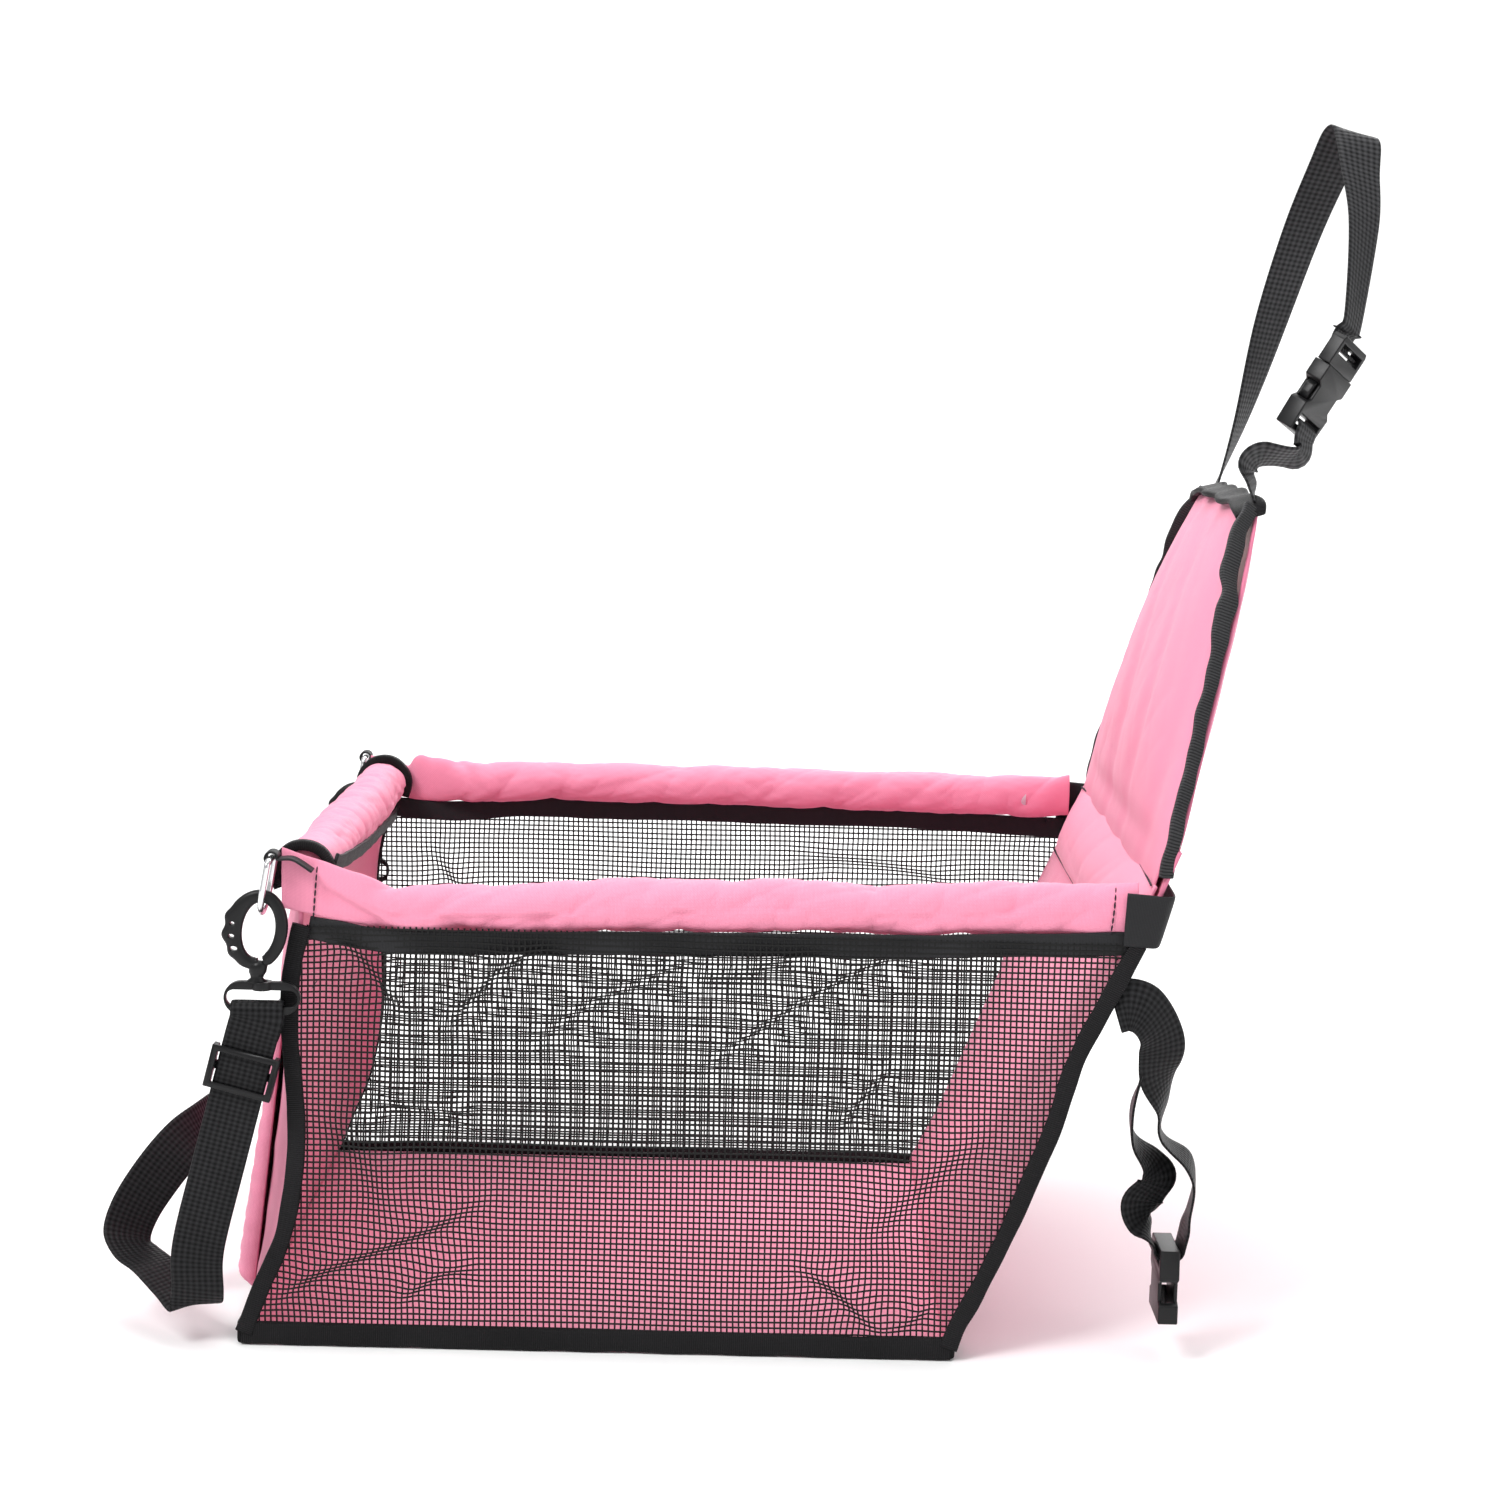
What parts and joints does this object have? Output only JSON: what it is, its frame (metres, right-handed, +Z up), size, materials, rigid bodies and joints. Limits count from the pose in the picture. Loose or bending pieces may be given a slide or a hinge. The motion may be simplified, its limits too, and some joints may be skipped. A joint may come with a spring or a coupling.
{
  "type": "pet carrier booster bag",
  "caption": "Open-top fabric pet carrier with mesh sides, a folding padded backrest and webbing straps that tie it to a car seat",
  "frame": {"origin": "middle of the underside of the base, on the surface that it stands on", "axes": "+X from the front wall to the back wall, +Y across, +Z up"},
  "size_m": [0.6246, 0.363, 0.6],
  "materials": {
    "pink_fabric": "woven polyester, light sheen",
    "binding_tape": "ribbed woven tape",
    "mesh": "open square mesh",
    "webbing": "coarse woven webbing",
    "black_plastic": "satin moulded",
    "bright_metal": "polished plate",
    "zip_metal": "black enamel",
    "tube_plastic": "extruded",
    "board": "pressed board",
    "foam": "thin foam sheet"
  },
  "bodies": {
    "carrier": {"base_panel": "pink_fabric", "base_board": "board", "base_lining": "pink_fabric", "base_binding": "binding_tape", "front_panel": "pink_fabric", "front_pocket": "pink_fabric", "pocket_zip_tape": "binding_tape", "pocket_zip_teeth": "black_plastic", "side_mesh_near": "mesh", "side_mesh_far": "mesh", "front_edge_bindings": "binding_tape", "back_edge_bindings": "binding_tape", "rim_tapes": "binding_tape", "side_sleeve_near": "pink_fabric", "side_sleeve_far": "pink_fabric", "side_tube_near": "tube_plastic", "side_tube_far": "tube_plastic", "front_sleeve": "pink_fabric", "front_sleeve_bindings": "binding_tape", "front_inner_band": "binding_tape", "front_tube": "tube_plastic", "back_panel": "pink_fabric", "rear_belt": "webbing", "d_ring_tabs": "webbing"},
    "zip_slider": {"zip_slider": "zip_metal"},
    "zip_pull": {"zip_pull": "zip_metal"},
    "backrest": {"backrest_front": "pink_fabric", "backrest_foam": "foam", "backrest_back": "pink_fabric", "backrest_side_bindings": "binding_tape", "backrest_top_binding": "binding_tape"},
    "headrest_strap": {"headrest_strap": "webbing", "headrest_short_strap": "webbing", "headrest_buckle_socket": "black_plastic", "headrest_buckle_plug": "black_plastic"},
    "headrest_arm_left": {"headrest_buckle_arm_left": "black_plastic"},
    "headrest_arm_right": {"headrest_buckle_arm_right": "black_plastic"},
    "shoulder_strap": {"shoulder_strap": "webbing", "d_rings": "bright_metal", "swivel_eyes": "black_plastic"},
    "hook_near": {"hook_near": "black_plastic"},
    "hook_far": {"hook_far": "black_plastic"},
    "gate_near": {"hook_gate_near": "bright_metal"},
    "gate_far": {"hook_gate_far": "bright_metal"},
    "strap_adjuster": {"strap_adjuster": "black_plastic"},
    "waist_strap_near": {"waist_strap_near": "webbing", "waist_buckle_socket": "black_plastic"},
    "waist_strap_far": {"waist_strap_far": "webbing", "waist_buckle_plug": "black_plastic"},
    "waist_arm_left": {"waist_buckle_arm_left": "black_plastic"},
    "waist_arm_right": {"waist_buckle_arm_right": "black_plastic"}
  },
  "joints": [
    {"name": "backrest_fold", "type": "hinge", "parent": "carrier", "child": "backrest", "pos_m": [0.26939, 0, 0.25], "axis": [0, 1, 0], "range_deg": [-90, 10]},
    {"name": "headrest_swing", "type": "hinge", "parent": "backrest", "child": "headrest_strap", "pos_m": [0.31375, 0, 0.41105], "axis": [0, 1, 0], "range_deg": [-60, 60]},
    {"name": "headrest_press_left", "type": "hinge", "parent": "headrest_strap", "child": "headrest_arm_left", "pos_m": [0.35712, -0.04322, 0.47285], "axis": [0.7022, -0.5736, -0.4219], "range_deg": [-8, 0], "stiffness_Nm_per_rad": 0.05},
    {"name": "headrest_press_right", "type": "hinge", "parent": "headrest_strap", "child": "headrest_arm_right", "pos_m": [0.34778, -0.05878, 0.47846], "axis": [0.7022, -0.5736, -0.4219], "range_deg": [0, 8], "stiffness_Nm_per_rad": 0.05},
    {"name": "shoulder_swing", "type": "hinge", "parent": "carrier", "child": "shoulder_strap", "pos_m": [-0.15504, 0, 0.239], "axis": [0, 1, 0], "range_deg": [0, 110]},
    {"name": "hook_swivel_near", "type": "hinge", "parent": "shoulder_strap", "child": "hook_near", "pos_m": [-0.15954, -0.168, 0.204], "axis": [0, 0, 1], "range_deg": [-10, 10]},
    {"name": "hook_swivel_far", "type": "hinge", "parent": "shoulder_strap", "child": "hook_far", "pos_m": [-0.15954, 0.168, 0.204], "axis": [0, 0, 1], "range_deg": [-10, 10]},
    {"name": "gate_open_near", "type": "hinge", "parent": "hook_near", "child": "gate_near", "pos_m": [-0.14744, -0.168, 0.197], "axis": [0, 1, 0], "range_deg": [-25, 0], "stiffness_Nm_per_rad": 0.02},
    {"name": "gate_open_far", "type": "hinge", "parent": "hook_far", "child": "gate_far", "pos_m": [-0.14744, 0.168, 0.197], "axis": [0, 1, 0], "range_deg": [-25, 0], "stiffness_Nm_per_rad": 0.02},
    {"name": "adjuster_slide", "type": "slide", "parent": "shoulder_strap", "child": "strap_adjuster", "axis": [-0.2419, 0, -0.9703], "range_m": [0, 0.055]},
    {"name": "zip_slide", "type": "slide", "parent": "carrier", "child": "zip_slider", "axis": [0, 1, 0], "range_m": [0, 0.25]},
    {"name": "zip_pull_flip", "type": "hinge", "parent": "zip_slider", "child": "zip_pull", "pos_m": [-0.15836, -0.127, 0.1567], "axis": [1, 0, 0], "range_deg": [0, 170]},
    {"name": "waist_swing_near", "type": "hinge", "parent": "carrier", "child": "waist_strap_near", "pos_m": [0.23917, -0.147, 0.168], "axis": [0, 1, 0], "range_deg": [-35, 0]},
    {"name": "waist_swing_far", "type": "hinge", "parent": "carrier", "child": "waist_strap_far", "pos_m": [0.23917, 0.147, 0.168], "axis": [0, 1, 0], "range_deg": [-35, 0]},
    {"name": "waist_press_left", "type": "hinge", "parent": "waist_strap_far", "child": "waist_arm_left", "pos_m": [0.23217, 0.1375, 0.102], "axis": [-0.9272, 0, 0.3746], "range_deg": [-8, 0], "stiffness_Nm_per_rad": 0.05},
    {"name": "waist_press_right", "type": "hinge", "parent": "waist_strap_far", "child": "waist_arm_right", "pos_m": [0.23217, 0.1565, 0.102], "axis": [-0.9272, 0, 0.3746], "range_deg": [0, 8], "stiffness_Nm_per_rad": 0.05}
  ]
}
